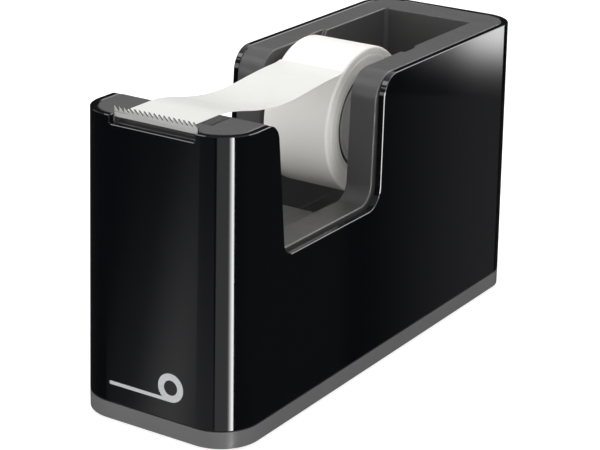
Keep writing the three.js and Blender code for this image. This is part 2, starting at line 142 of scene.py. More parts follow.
FOOT_RADIUS = 4.9
FOOT_THICK = 1.2
FOOT_PLACES = [(sx * 14.6, sy * 59.5) for sy in (-1, 1) for sx in (-1, 1)]
SCREW_PLACES = [(sx * 14.0, y) for y in (-41.0, 44.0) for sx in (-1, 1)]
SCREW_SHANK = 1.5
SCREW_BORE = SCREW_SHANK + GAP
SCREW_HEAD = 3.0
SCREW_SHOULDER = 2.7
SCREW_NECK = 1.25
SCREW_TIP = 18.0
THREAD_START = 3.6
THREAD_ROOT = 1.15
THREAD_PITCH = 0.8
TRAY_WALL = 1.6
TRAY_EDGE = 0.3
TRAY_BOSS_RADIUS = 4.6
TRAY_BOSS_TOP = 6.0
BALLAST_SIZE = (34.0, 33.0)
BALLAST_PLACES = (-18.5, 18.5)
BALLAST_RIB = 1.4
BALLAST_RIB_HEIGHT = 3.5

# ---------------------------------------------------------------- shape helpers


def fillet_polygon(corners, radii, steps):
    """A closed polygon whose corners are replaced by tangent arcs."""
    out = []
    count = len(corners)
    for i, (corner, radius) in enumerate(zip(corners, radii)):
        here = Vector(corner)
        if not radius:
            out.append(here)
            continue
        inward = (Vector(corners[i - 1]) - here).normalized()
        outward = (Vector(corners[(i + 1) % count]) - here).normalized()
        half = math.acos(max(-1.0, min(1.0, inward.dot(outward)))) / 2
        start = here + inward * radius / math.tan(half)
        end = here + outward * radius / math.tan(half)
        centre = here + (inward + outward).normalized() * radius / math.sin(half)
        a0 = math.atan2(start.y - centre.y, start.x - centre.x)
        a1 = math.atan2(end.y - centre.y, end.x - centre.x)
        sweep = math.atan2(math.sin(a1 - a0), math.cos(a1 - a0))
        for k in range(steps + 1):
            a = a0 + sweep * k / steps
            out.append(centre + radius * Vector((math.cos(a), math.sin(a))))
    return out


def rounded_rectangle(width, length, radius, steps, y=0.0):
    """Counter-clockwise outline centred on (0, y)."""
    w, h = width / 2, length / 2
    corners = [(-w, y - h), (w, y - h), (w, y + h), (-w, y + h)]
    return fillet_polygon(corners, [radius] * 4, steps)


def between(y0, y1, width, radius):
    """Rounded rectangle from y0 to y1."""
    return rounded_rectangle(width, y1 - y0, radius, 6, (y0 + y1) / 2)


def circle(radius, steps, x, y):
    turns = [2 * math.pi * k / steps for k in range(steps)]
    return [Vector((x + radius * math.cos(a), y + radius * math.sin(a))) for a in turns]


def make(name, vertices, faces):
    """A mesh object from millimetre vertices."""
    mesh = bpy.data.meshes.new(name)
    mesh.from_pydata([tuple(c * MM for c in v) for v in vertices], [], faces)
    mesh.validate()
    mesh.update()
    obj = bpy.data.objects.new(name, mesh)
    bpy.context.scene.collection.objects.link(obj)
    return obj


def loft(name, lower, z0, upper, z1, order=(0, 1, 2)):
    """Closed solid between two outlines with equal point counts; order maps (a, b, height) to X, Y, Z."""
    n = len(lower)
    rows = [(p.x, p.y, z0) for p in lower] + [(p.x, p.y, z1) for p in upper]
    vertices = [tuple(row[i] for i in order) for row in rows]
    faces = [tuple(reversed(range(n))), tuple(range(n, 2 * n))]
    faces += [(i, (i + 1) % n, n + (i + 1) % n, n + i) for i in range(n)]
    obj = make(name, vertices, faces)
    clean(obj)
    return obj


def prism(name, outline, z0, z1):
    return loft(name, outline, z0, outline, z1)


def sideways(name, outline, x0, x1):
    """Outline in (Y, Z) carried along X."""
    return loft(name, outline, x0, outline, x1, order=(2, 0, 1))


def lengthways(name, outline, y0, y1):
    """Outline in (X, Z) carried along Y."""
    return loft(name, outline, y0, outline, y1, order=(0, 2, 1))


def turned(name, profile, segments, centre, axis="X"):
    """Closed profile of (radius, position along the axis) turned about an axis through centre."""
    vertices = []
    for k in range(segments):
        a = 2 * math.pi * k / segments
        for radius, along in profile:
            c, s = radius * math.cos(a), radius * math.sin(a)
            if axis == "X":
                vertices.append((along, centre[0] + c, centre[1] + s))
            else:
                vertices.append((centre[0] + c, centre[1] + s, along))
    n = len(profile)
    faces = []
    for k in range(segments):
        m = (k + 1) % segments
        for i in range(n):
            j = (i + 1) % n
            faces.append((k * n + i, k * n + j, m * n + j, m * n + i))
    obj = make(name, vertices, faces)
    clean(obj)
    return obj


def box(name, x0, x1, y0, y1, z0, z1):
    return prism(name, [Vector(p) for p in ((x0, y0), (x1, y0), (x1, y1), (x0, y1))], z0, z1)


def clean(obj):
    """Welds doubled points and turns the faces outwards."""
    same = 0.0001 * MM
    bm = bmesh.new()
    bm.from_mesh(obj.data)
    bmesh.ops.remove_doubles(bm, verts=bm.verts, dist=same)
    bmesh.ops.dissolve_degenerate(bm, dist=same, edges=bm.edges)
    bmesh.ops.recalc_face_normals(bm, faces=bm.faces)
    bm.to_mesh(obj.data)
    bm.free()


def bake_modifiers(obj):
    """Turns the result of the object's modifiers into its mesh."""
    graph = bpy.context.evaluated_depsgraph_get()
    graph.update()
    obj.data = bpy.data.meshes.new_from_object(obj.evaluated_get(graph))
    obj.modifiers.clear()


def combine(obj, tools, operation):
    """Exact boolean of obj with each tool, which is then removed."""
    for tool in tools:
        step = obj.modifiers.new("combine", "BOOLEAN")
        step.solver = "EXACT"
        step.operation = operation
        step.object = tool
        bake_modifiers(obj)
        bpy.data.objects.remove(tool)
    return obj


def cut(obj, *tools):
    return combine(obj, tools, "DIFFERENCE")


def add(obj, *tools):
    return combine(obj, tools, "UNION")


def join(name, objects):
    """One object from several that don't touch."""
    vertices, faces = [], []
    for obj in objects:
        start = len(vertices)
        vertices += [tuple(c / MM for c in v.co) for v in obj.data.vertices]
        faces += [tuple(start + i for i in p.vertices) for p in obj.data.polygons]
        bpy.data.objects.remove(obj)
    return make(name, vertices, faces)


def soften(obj, width, segments, limited=True):
    """Bevels every edge sharper than 28 degrees by width millimetres; one segment makes a chamfer.
    When limited, the piece's shortest edge sets how wide all its bevels can be."""
    clean(obj)
    bevel = obj.modifiers.new("edges", "BEVEL")
    bevel.width = width * MM
    bevel.segments = segments
    bevel.limit_method = "ANGLE"
    bevel.angle_limit = math.radians(28)
    bevel.miter_outer = "MITER_ARC"
    bevel.use_clamp_overlap = limited
    bake_modifiers(obj)
    return obj


def shade(obj, angle=32):
    """Smooth shading that keeps flat faces flat and edges sharper than angle crisp."""
    for polygon in obj.data.polygons:
        polygon.use_smooth = True
    obj.data.set_sharp_from_angle(angle=math.radians(angle))
    weigh = obj.modifiers.new("normals", "WEIGHTED_NORMAL")
    weigh.keep_sharp = True
    bake_modifiers(obj)
    return obj


# ---------------------------------------------------------------- material helpers


class Shader:
    """A Principled material with short ways to add procedural detail in object space."""

    def __init__(self, name, color, roughness, metallic=0.0):
        self.material = bpy.data.materials.new(name)
        self.material.use_nodes = True
        self.tree = self.material.node_tree
        self.principled = self.tree.nodes["Principled BSDF"]
        self.color = color
        self.set("Base Color", (*color, 1))
        self.set("Roughness", roughness)
        self.set("Metallic", metallic)
        self.coordinates = self.node("ShaderNodeTexCoord").outputs["Object"]
        self.height = None

    def node(self, kind, **values):
        made = self.tree.nodes.new(kind)
        for key, value in values.items():
            setattr(made, key, value)
        return made

    def link(self, source, target):
        self.tree.links.new(source, target)

    def set(self, socket, value):
        self.principled.inputs[socket].default_value = value

    def stretched(self, scale):
        """Object coordinates scaled per axis."""
        mapping = self.node("ShaderNodeMapping")
        mapping.inputs["Scale"].default_value = scale
        self.link(self.coordinates, mapping.inputs["Vector"])
        return mapping.outputs["Vector"]

    def noise(self, scale, detail, vector=None):
        texture = self.node("ShaderNodeTexNoise")
        texture.inputs["Scale"].default_value = scale
        texture.inputs["Detail"].default_value = detail
        self.link(vector or self.coordinates, texture.inputs["Vector"])
        return texture.outputs["Fac"]

    def remap(self, value, low, high, source=(0.3, 0.7)):
        ranged = self.node("ShaderNodeMapRange")
        ranged.inputs["From Min"].default_value = source[0]
        ranged.inputs["From Max"].default_value = source[1]
        ranged.inputs["To Min"].default_value = low
        ranged.inputs["To Max"].default_value = high
        self.link(value, ranged.inputs["Value"])
        return ranged.outputs["Result"]

    def vary_roughness(self, value, low, high):
        self.link(self.remap(value, low, high), self.principled.inputs["Roughness"])

    def vary_color(self, value, darker, lighter):
        """Base colour between two multiples of the main colour."""
        mix = self.node("ShaderNodeMix", data_type="RGBA")
        mix.inputs["A"].default_value = (*(c * darker for c in self.color), 1)
        mix.inputs["B"].default_value = (*(min(1.0, c * lighter) for c in self.color), 1)
        self.link(self.remap(value, 0, 1), mix.inputs["Factor"])
        self.link(mix.outputs["Result"], self.principled.inputs["Base Color"])

    def bump(self, value, strength, distance):
        """Adds one more layer of bump; distance is in millimetres."""
        made = self.node("ShaderNodeBump")
        made.inputs["Strength"].default_value = strength
        made.inputs["Distance"].default_value = distance * MM
        self.link(value, made.inputs["Height"])
        if self.height:
            self.link(self.height, made.inputs["Normal"])
        self.height = made.outputs["Normal"]
        self.link(self.height, self.principled.inputs["Normal"])

    def mask_color(self, value, source, color):
        """Blends the base colour towards color as value goes through source."""
        target = self.principled.inputs["Base Color"]
        mix = self.node("ShaderNodeMix", data_type="RGBA")
        if target.is_linked:
            self.link(target.links[0].from_socket, mix.inputs["A"])
        else:
            mix.inputs["A"].default_value = (*self.color, 1)
        mix.inputs["B"].default_value = (*color, 1)
        self.link(self.remap(value, 0, 1, source), mix.inputs["Factor"])
        self.link(mix.outputs["Result"], target)

    def facing(self, axis):
        """How squarely the surface faces along one axis of the object, from 0 to 1."""
        split = self.node("ShaderNodeSeparateXYZ")
        self.link(self.coordinates.node.outputs["Normal"], split.inputs["Vector"])
        size = self.node("ShaderNodeMath", operation="ABSOLUTE")
        self.link(split.outputs[axis], size.inputs[0])
        return size.outputs["Value"]

    def radius_about_roll(self):
        """Distance from the roll's axis, in metres."""
        split = self.node("ShaderNodeSeparateXYZ")
        self.link(self.coordinates, split.inputs["Vector"])
        flat = self.node("ShaderNodeCombineXYZ")
        self.link(split.outputs["Y"], flat.inputs["Y"])
        self.link(split.outputs["Z"], flat.inputs["Z"])
        length = self.node("ShaderNodeVectorMath", operation="DISTANCE")
        self.link(flat.outputs["Vector"], length.inputs[0])
        length.inputs[1].default_value = (0, AXIS_Y * MM, AXIS_Z * MM)
        return length.outputs["Value"]


def shell_material():
    """High-gloss black moulding: faint wipe marks and a trace of moulding waviness."""
    m = Shader("gloss_black", (0.0026, 0.0028, 0.0038), 0.07)
    m.vary_roughness(m.noise(35, 4), 0.05, 0.09)
    m.bump(m.noise(28, 1), 0.05, 0.05)
    m.set("Specular IOR Level", 0.5)
    return m.material


def satin_material(name, color, roughness, grain):
    """Fine spark-eroded grain over a satin moulding."""
    m = Shader(name, color, roughness)
    m.vary_color(m.noise(90, 4), 0.94, 1.06)
    m.vary_roughness(m.noise(260, 3), roughness - 0.04, roughness + 0.06)
    m.bump(m.noise(4200, 2), 0.35, grain)
    m.bump(m.noise(60, 2), 0.08, 0.08)
    return m.material


def steel_material():
    """Stamped strip steel: a fine rolled grain along X, and painted shade that turns every face not facing
    front or back near-black, for the shadow lines along the teeth and edges.
    """
    m = Shader("blade_steel", (0.62, 0.62, 0.6), 0.34, metallic=0.4)
    grain = m.noise(900, 3, m.stretched((0.04, 1, 1)))
    m.vary_color(grain, 0.86, 1.08)
    m.vary_roughness(grain, 0.24, 0.42)
    # painted shade: faces that don't face front or back (tooth slopes and tips, cut edges) go near-black, as
    # the shadow lines along the teeth
    m.mask_color(m.facing("Y"), (0.85, 0.6), (0.03, 0.03, 0.03))
    m.bump(grain, 0.12, 0.01)
    return m.material


def zinc_material():
    """Bright zinc-plated screw and axle steel."""
    m = Shader("plated_steel", (0.6, 0.61, 0.62), 0.3, metallic=1.0)
    m.vary_roughness(m.noise(700, 3), 0.2, 0.42)
    m.vary_color(m.noise(300, 3), 0.85, 1.1)
    m.bump(m.noise(1500, 2), 0.1, 0.01)
    return m.material


def film_material():
    """The free end: one layer of matt film that lets a little light through."""
    m = Shader("tape_film", (0.76, 0.757, 0.735), 0.42)
    m.vary_roughness(m.noise(500, 3), 0.36, 0.5)
    m.vary_color(m.noise(120, 3), 0.985, 1.01)
    m.bump(m.noise(220, 2), 0.05, 0.03)
    m.set("Subsurface Weight", 0.12)
    m.set("Subsurface Radius", (0.9, 0.9, 0.9))
    m.set("Subsurface Scale", 0.0006)
    return m.material


def winding_material():
    """Many layers of film: turns show on the side as fine rings."""
    m = Shader("tape_roll", (0.86, 0.85, 0.81), 0.5)
    rings = m.node("ShaderNodeTexNoise", noise_dimensions="1D")
    rings.inputs["Scale"].default_value = 2600
    rings.inputs["Detail"].default_value = 4
    m.link(m.radius_about_roll(), rings.inputs["W"])
    m.vary_color(rings.outputs["Fac"], 0.95, 1.02)
    m.bump(rings.outputs["Fac"], 0.3, 0.05)
    m.bump(m.noise(150, 2), 0.06, 0.05)
    m.set("Subsurface Weight", 0.2)
    m.set("Subsurface Radius", (1, 1, 0.95))
    m.set("Subsurface Scale", 0.0012)
    return m.material


def board_material():
    """Pale wound board with fibres."""
    m = Shader("core_board", (0.8, 0.79, 0.75), 0.7)
    fibres = m.noise(1400, 4, m.stretched((0.25, 1, 1)))
    m.vary_color(fibres, 0.95, 1.03)
    m.bump(fibres, 0.25, 0.04)
    return m.material


def hub_material():
    """Light moulding with painted shade: a near-black band round the outer 0.3 mm of its rim stands in for
    the shadow in the gap between hub and core.
    """
    m = Shader("hub_plastic", (0.5, 0.5, 0.485), 0.4)
    m.vary_color(m.noise(140, 3), 0.95, 1.05)
    # painted shade: the rim's outer 0.3 mm is darkened to near-black as the shadow of the gap between hub and
    # core
    painted_gap_shadow = ((HUB_RADIUS - 0.3) * MM, (HUB_RADIUS - 0.1) * MM)
    m.mask_color(m.radius_about_roll(), painted_gap_shadow, (0.02, 0.02, 0.02))
    m.vary_roughness(m.noise(400, 3), 0.34, 0.5)
    m.bump(m.noise(2600, 2), 0.15, 0.02)
    return m.material


def rubber_material():
    m = Shader("foot_rubber", (0.022, 0.022, 0.023), 0.85)
    m.vary_color(m.noise(500, 4), 0.8, 1.35)
    m.bump(m.noise(1500, 3), 0.4, 0.04)
    return m.material


def casting_material():
    m = Shader("ballast_iron", (0.16, 0.16, 0.165), 0.6, metallic=0.9)
    m.vary_color(m.noise(200, 5), 0.7, 1.2)
    m.vary_roughness(m.noise(600, 3), 0.5, 0.75)
    m.bump(m.noise(900, 4), 0.5, 0.15)
    return m.material


def print_material():
    """Silver pad print."""
    m = Shader("silver_print", (0.62, 0.63, 0.64), 0.38, metallic=0.3)
    m.vary_color(m.noise(1800, 3), 0.93, 1.05)
    m.bump(m.noise(3000, 2), 0.1, 0.01)
    return m.material


SHELL = shell_material()
LINER = satin_material("liner_satin", (0.062, 0.061, 0.061), 0.4, 0.01)
BASE = satin_material("base_satin", (0.125, 0.123, 0.124), 0.36, 0.015)
STEEL = steel_material()
ZINC = zinc_material()
FILM_LOOK = film_material()
WINDING = winding_material()
BOARD = board_material()
HUB = hub_material()
RUBBER = rubber_material()
CASTING = casting_material()
PRINT = print_material()


def fit(obj, material, body, slot, *nodes):
    """Gives a finished piece its material and its body, and hides the CAD nodes it stands for. The slot
    argument is not used.
    """
    obj.data.materials.clear()
    obj.data.materials.append(material)
    for polygon in obj.data.polygons:
        polygon.material_index = 0
    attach(obj, body)
    if nodes:
        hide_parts(*nodes)


# ---------------------------------------------------------------- outer shell

TOP_WIDTH = BODY_WIDTH - 2 * DRAFT_SIDE
TOP_LENGTH = BODY_LENGTH - 2 * DRAFT_END
TOP_RADIUS = PLAN_RADIUS - DRAFT_END


def body_block(name, inset, z0, z1):
    """The drafted body outline, moved inwards by inset."""
    lower = rounded_rectangle(BODY_WIDTH - 2 * inset, BODY_LENGTH - 2 * inset, PLAN_RADIUS - inset, 28)
    upper = rounded_rectangle(TOP_WIDTH - 2 * inset, TOP_LENGTH - 2 * inset, TOP_RADIUS - inset, 28)
    rise = (z1 - z0) / (BODY_TOP - SHELL_FOOT)
    high = [a.lerp(b, rise) for a, b in zip(lower, upper)]
    return loft(name, lower, z0, high, z1)


def above_silhouette(name, opened, top):
    """Everything above the side silhouette: the space over the top faces and in the cut-out.
    opened moves the cut-out outwards."""
    (front_top, r0), (front_low, r1), (rear_low, r2), (rear_top, r3) = CUT_CORNERS.values()
    corners = [
        (-90, top), (front_top - opened, top), (front_low - opened, CUT_FLOOR - opened),
        (rear_low + opened, CUT_FLOOR - opened), (rear_top + opened, top), (90, top), (90, 120), (-90, 120),
    ]
    radii = [0, r0 - opened, r1 + opened, r2 + opened, r3 - opened, 0, 0, 0]
    return sideways(name, fillet_polygon(corners, radii, 14), -40, 40)


def outer_shell():
    shell = body_block("shell_sleeve", 0, SHELL_FOOT, BODY_TOP + 2)
    w, low = NOTCH_HALF, UNDERCUT_FLOOR
    notch = fillet_polygon([(-w, ABOVE), (-w, low), (w, low), (w, ABOVE)], [0, 0.5, 0.5, 0], 6)
    cut(
        shell,
        body_block("t", SHELL_WALL, SHELL_FOOT - 0.02, BODY_TOP + 3),
        above_silhouette("t", 0, BODY_TOP),
        lengthways("t", notch, -BODY_LENGTH / 2 - 2, BLADE_FRONT + 1),
    )
    return shade(soften(shell, SHELL_EDGE, 1))


fit(outer_shell(), SHELL, "housing", "shell", "outer_shell")


# ---------------------------------------------------------------- printed mark


def lean_on_front(obj):
    """Moves a flat piece made at Y = 0 onto the drafted front face."""
    for v in obj.data.vertices:
        lean = DRAFT_END * (v.co.z / MM - SHELL_FOOT) / (BODY_TOP - SHELL_FOOT)
        v.co.y += (lean - BODY_LENGTH / 2) * MM
    return obj


def tape_symbol():
    """A plain pictogram: a roll of tape on the right, its end pulled out to the left and cut in a zigzag."""
    x, z = 5.8, 13.2
    outer, inner, film, thick = 3.6, 1.9, 0.9, 0.02
    low = z - outer
    end = x - 17.5
    strip = [(x, low), (x, low + film), (end, low + film)]
    strip += [(end - 0.6, low + film * 3 / 4), (end, low + film / 2), (end - 0.6, low + film / 4), (end, low)]
    symbol = lengthways("print_symbol", circle(outer, 64, x, z), -thick, thick)
    add(symbol, lengthways("t", [Vector(p) for p in strip], -thick, thick))
    cut(symbol, lengthways("t", circle(inner, 48, x, z), -1, 1))
    return lean_on_front(symbol)


fit(tape_symbol(), PRINT, "housing", "steel")


# ---------------------------------------------------------------- inner liner

LINER_INSET = SHELL_WALL + LINER_GAP
LINER_PLAN = (TOP_WIDTH - 2 * LINER_INSET, TOP_LENGTH - 2 * LINER_INSET, TOP_RADIUS - LINER_INSET)


def axle_slots():
    """The two grooves the axle slides down, one tool across the well."""
    turns = [math.pi + math.pi * k / 16 for k in range(17)]
    outline = [(AXLE_BORE * math.cos(a), AXLE_BORE * math.sin(a)) for a in turns]
    outline += [(AXLE_BORE, 30), (-AXLE_BORE, 30)]
    lean = math.radians(SLOT_LEAN)
    c, s = math.cos(lean), math.sin(lean)
    placed = [Vector((AXIS_Y + a * c + b * s, AXIS_Z - a * s + b * c)) for a, b in outline]
    reach = WELL_WIDTH / 2 + SLOT_DEPTH
    return sideways("t", placed, -reach, reach)


def blade_seat():
    """The cuts that take the blade: its strip, its flange, and the undercut in front of the strip."""
    strip = BLADE_WIDTH / 2 + GAP
    flange = BLADE_FLANGE_WIDTH / 2 + GAP
    seat = BLADE_LOW - 0.05
    front = -80
    return (
        box("t", -strip, strip, front, BLADE_FRONT + BLADE_THICK + 0.1, seat, ABOVE),
        box("t", -flange, flange, front, BLADE_FRONT + BLADE_FLANGE + GAP, seat, ABOVE + 1),
        box("t", -strip, strip, front, UNDERCUT_REAR, UNDERCUT_FLOOR, seat),
    )


def liner_hollow():
    """The space inside the liner, round the skins of the cut-out, the well and the ledge."""
    width, length, radius = LINER_PLAN
    plan = rounded_rectangle(width - 2 * LINER_WALL, length - 2 * LINER_WALL, radius - LINER_WALL, 12)
    hollow = prism("t", plan, 0, BODY_TOP - LINER_WALL)
    well_skin = between(WELL_FRONT - WELL_WALL, WELL_REAR + WELL_WALL, WELL_WIDTH + 2 * WELL_WALL, 3)
    ledge_skin = between(LEDGE_FRONT - LINER_WALL, WELL_FRONT, WELL_WIDTH + 2 * LINER_WALL, 1)
    return cut(
        hollow,
        above_silhouette("t", LINER_WALL - CUT_REVEAL, BODY_TOP - LINER_WALL),
        prism("t", well_skin, WELL_FLOOR - WELL_WALL, BODY_TOP + 5),
        prism("t", ledge_skin, LEDGE_TOP - LINER_WALL, BODY_TOP + 5),
    )


def platform_grooves():
    """The fine grooves across the platform, and the pockets at their ends, as three cutting tools."""
    rows = [RIB_FIRST + i * RIB_PITCH for i in range(RIB_COUNT)]
    half = RIB_WIDTH / 2
    over = 0.1
    grooves = []
    for y in rows:
        section = [(y - half, BODY_TOP + over), (y, BODY_TOP - RIB_DEPTH), (y + half, BODY_TOP + over)]
        grooves.append(sideways("t", [Vector(p) for p in section], -RIB_HALF - over, RIB_HALF + over))
    tools = [join("t", grooves)]
    half = POCKET_WIDTH / 2
    floor = BODY_TOP - POCKET_DEPTH
    for side in (-1, 1):
        x0, x1 = sorted((side * RIB_HALF, side * (RIB_HALF + POCKET_LENGTH)))
        tools.append(join("t", [box("t", x0, x1, y - half, y + half, floor, ABOVE) for y in rows]))
    return tools


def inner_liner():
    """The visible edges are chamfered before the piece is hollowed, so that its inside stays plain."""
    width, length, radius = LINER_PLAN
    liner = prism("liner_moulding", rounded_rectangle(width, length, radius, 24), LINER_FOOT, BODY_TOP + 2)
    cut(
        liner,
        above_silhouette("t", -CUT_REVEAL, BODY_TOP),
        prism("t", between(WELL_FRONT, WELL_REAR, WELL_WIDTH, WELL_CORNER), WELL_FLOOR, ABOVE),
        axle_slots(),
        *blade_seat(),
    )
    soften(liner, LINER_EDGE, 1, limited=False)
    cut(liner, liner_hollow())
    for x, y in SCREW_PLACES:
        top = LEDGE_TOP - 1 if y < 0 else WELL_FLOOR - 1
        add(liner, prism("t", circle(LINER_BOSS_RADIUS, 24, x, y), LINER_BOSS_FOOT, top))
    for x, y in SCREW_PLACES:
        cut(liner, prism("t", circle(SCREW_BORE, 20, x, y), 5, 20))
    cut(liner, prism("t", between(LEDGE_FRONT, WELL_FRONT + 3, WELL_WIDTH, WELL_CORNER), LEDGE_TOP, ABOVE))
    cut(liner, *platform_grooves())
    return shade(liner)


fit(inner_liner(), LINER, "housing", "liner", "inner_liner")


# ---------------------------------------------------------------- base tray, feet, screws, ballast


def tray_plan(inset):
    """The outline of the body at the bottom, moved inwards by inset."""
    return rounded_rectangle(BODY_WIDTH - 2 * inset, BODY_LENGTH - 2 * inset, PLAN_RADIUS - inset, 28)


def base_plate():
    """A tray whose rim locates the shell, with bosses, counterbores, foot recesses and ballast ribs."""
    tray = prism("base_tray", tray_plan(0), BASE_UNDER, STRIP_TOP)
    add(tray, prism("t", tray_plan(SHELL_WALL + GAP), BASE_UNDER + 1, STRIP_TOP + 3.75))
    cut(tray, prism("t", tray_plan(SHELL_WALL + GAP + TRAY_WALL), BASE_UNDER + 2, 20))
    for x, y in SCREW_PLACES:
        add(tray, prism("t", circle(TRAY_BOSS_RADIUS, 32, x, y), 1, TRAY_BOSS_TOP))
        cut(
            tray,
            prism("t", circle(SCREW_HEAD + 0.4, 36, x, y), 0, 3),
            prism("t", circle(SCREW_BORE, 24, x, y), 2, TRAY_BOSS_TOP + 1),
        )
    for x, y in FOOT_PLACES:
        cut(tray, prism("t", circle(FOOT_RADIUS + 0.25, 40, x, y), 0, FOOT_THICK + 0.3))
    for y in BALLAST_PLACES:
        add(tray, ballast_frame(y))
    return shade(soften(tray, TRAY_EDGE, 3))


def ballast_frame(y):
    """The low rib that keeps a ballast block in its place on the tray."""
    width, length = (size + 2 * GAP for size in BALLAST_SIZE)
    floor = BASE_UNDER + 2
    outer = rounded_rectangle(width + 2 * BALLAST_RIB, length + 2 * BALLAST_RIB, 1.5, 4, y)
    rib = prism("t", outer, floor - 0.5, floor + BALLAST_RIB_HEIGHT)
    return cut(rib, prism("t", rounded_rectangle(width, length, 1, 4, y), floor - 1, 20))


def foot_pad(name, x, y):
    """A round pad with a rounded rim and two shallow rings on its underside."""
    r, top = FOOT_RADIUS, FOOT_THICK
    profile = [(0.01, 0.15), (1.5, 0.15), (1.7, 0.0), (2.6, 0.0), (2.8, 0.15), (3.3, 0.15), (3.5, 0.0)]
    profile += [(r - 0.35, 0.0), (r - 0.1, 0.1), (r, 0.35), (r, top - 0.1), (r - 0.1, top), (0.01, top)]
    return shade(turned(name, profile, 48, (x, y), axis="Z"))


def base_screw(name, x, y):
    """Pan head with a cross recess, and a shank with a cut thread below it."""
    under = BASE_UNDER + 0.5
    profile = [(0.01, under), (1.6, under), (2.3, under + 0.12), (2.75, under + 0.4)]
    profile += [(SCREW_HEAD, under + 0.9), (SCREW_HEAD, SCREW_SHOULDER - 0.1)]
    profile += [(SCREW_HEAD - 0.1, SCREW_SHOULDER), (SCREW_NECK, SCREW_SHOULDER), (SCREW_NECK, THREAD_START)]
    for k in range(int((SCREW_TIP - 2.2 - THREAD_START) / THREAD_PITCH)):
        z = THREAD_START + THREAD_PITCH * k
        profile += [(THREAD_ROOT, z + 0.1), (SCREW_SHANK, z + 0.4), (THREAD_ROOT, z + 0.7)]
    profile += [(THREAD_ROOT, SCREW_TIP - 2), (0.25, SCREW_TIP), (0.01, SCREW_TIP)]
    screw = turned(name, profile, 32, (x, y), axis="Z")
    cross = add(
        box("t", x - 1.5, x + 1.5, y - 0.32, y + 0.32, 0, under + 0.8),
        box("t", x - 0.32, x + 0.32, y - 1.5, y + 1.5, 0, under + 0.81),
    )
    cut(screw, cross)
    return shade(screw)


fit(base_plate(), BASE, "housing", "base", "base_plate")

CORNERS = ["front_left", "front_right", "rear_left", "rear_right"]
for corner, (x, y) in zip(CORNERS, FOOT_PLACES):
    fit(foot_pad(f"pad_{corner}", x, y), RUBBER, "housing", "rubber", f"foot_pad_{corner}")
for corner, (x, y) in zip(CORNERS, SCREW_PLACES):
    fit(base_screw(f"screw_{corner}", x, y), ZINC, "housing", "steel", f"base_screw_{corner}")
for name in ("ballast_front", "ballast_rear"):
    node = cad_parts[name]
    node.data.materials.clear()
    node.data.materials.append(CASTING)


# ---------------------------------------------------------------- cutter blade


def cutter_blade():
    """Front strip with right-angled saw teeth, upright on the left and sloping down to the right, and a
    seat flange behind it that the tape covers."""
    half = BLADE_WIDTH / 2
    pitch = BLADE_WIDTH / BLADE_TEETH
    outline = [(-half, BLADE_LOW), (half, BLADE_LOW), (half, BLADE_VALLEY)]
    for i in reversed(range(BLADE_TEETH)):
        left = -half + i * pitch
        outline += [(left + 0.1, BLADE_TIP), (left, BLADE_TIP - 0.05)]
        if i:
            outline.append((left, BLADE_VALLEY))
    blade = lengthways("blade_strip", [Vector(p) for p in outline], BLADE_FRONT, BLADE_FRONT + BLADE_THICK)
    wing = BLADE_FLANGE_WIDTH / 2
    rear = BLADE_FRONT + BLADE_FLANGE
    add(blade, box("t", -wing, wing, BLADE_FRONT + 0.01, rear, BLADE_LOW, BLADE_LOW + BLADE_FLANGE_THICK))
    return shade(soften(blade, BLADE_EDGE, 2))


fit(cutter_blade(), STEEL, "housing", "steel", "cutter_blade")


# ---------------------------------------------------------------- axle, hub and roll

AXIS = (AXIS_Y, AXIS_Z)


def rod_profile(radius, x0, x1, edge):
    """Half section of a rod with chamfered ends."""
    end = radius - edge
    return [(0.01, x0), (end, x0), (radius, x0 + edge), (radius, x1 - edge), (end, x1), (0.01, x1)]


def ring_profile(inner, outer, x0, x1, edge):
    """Rectangular section with four rounded corners."""
    corners = [(inner, x0), (outer, x0), (outer, x1), (inner, x1)]
    return [tuple(p) for p in fillet_polygon(corners, [edge] * 4, 4)]


def hub_half(name, end, split):
    """Rim, recessed web with ribs on its inner side, and a boss round the axle."""
    outward = 1 if end > split else -1
    web_outer = end - outward * HUB_RECESS
    web_inner = web_outer - outward * HUB_WEB
    rim = HUB_RADIUS - HUB_RIM
    corners = [
        (rim, end), (HUB_RADIUS, end), (HUB_RADIUS, split), (rim, split),
        (rim, web_inner), (HUB_BOSS, web_inner), (HUB_BOSS, split), (AXLE_BORE, split),
        (AXLE_BORE, end), (HUB_BOSS, end), (HUB_BOSS, web_outer), (rim, web_outer),
    ]
    radii = [0.3, 0.35, 0.1, 0.1, 0.3, 0.3, 0.1, 0.1, 0.25, 0.25, 0.4, 0.4]
    hub = turned(name, [tuple(p) for p in fillet_polygon(corners, radii, 4)], 96, AXIS)
    x0, x1 = sorted((web_inner + outward * 0.2, split + outward))
    ribs = []
    for k in range(HUB_RIBS):
        rib = box("t", x0, x1, -HUB_RIB_WIDTH / 2, HUB_RIB_WIDTH / 2, HUB_BOSS - 0.4, rim + 0.4)
        rib.data.transform(Matrix.Rotation(2 * math.pi * k / HUB_RIBS, 4, "X"))
        rib.data.transform(Matrix.Translation((0, AXIS_Y * MM, AXIS_Z * MM)))
        ribs.append(rib)
    add(hub, join("t", ribs))
    return shade(hub)


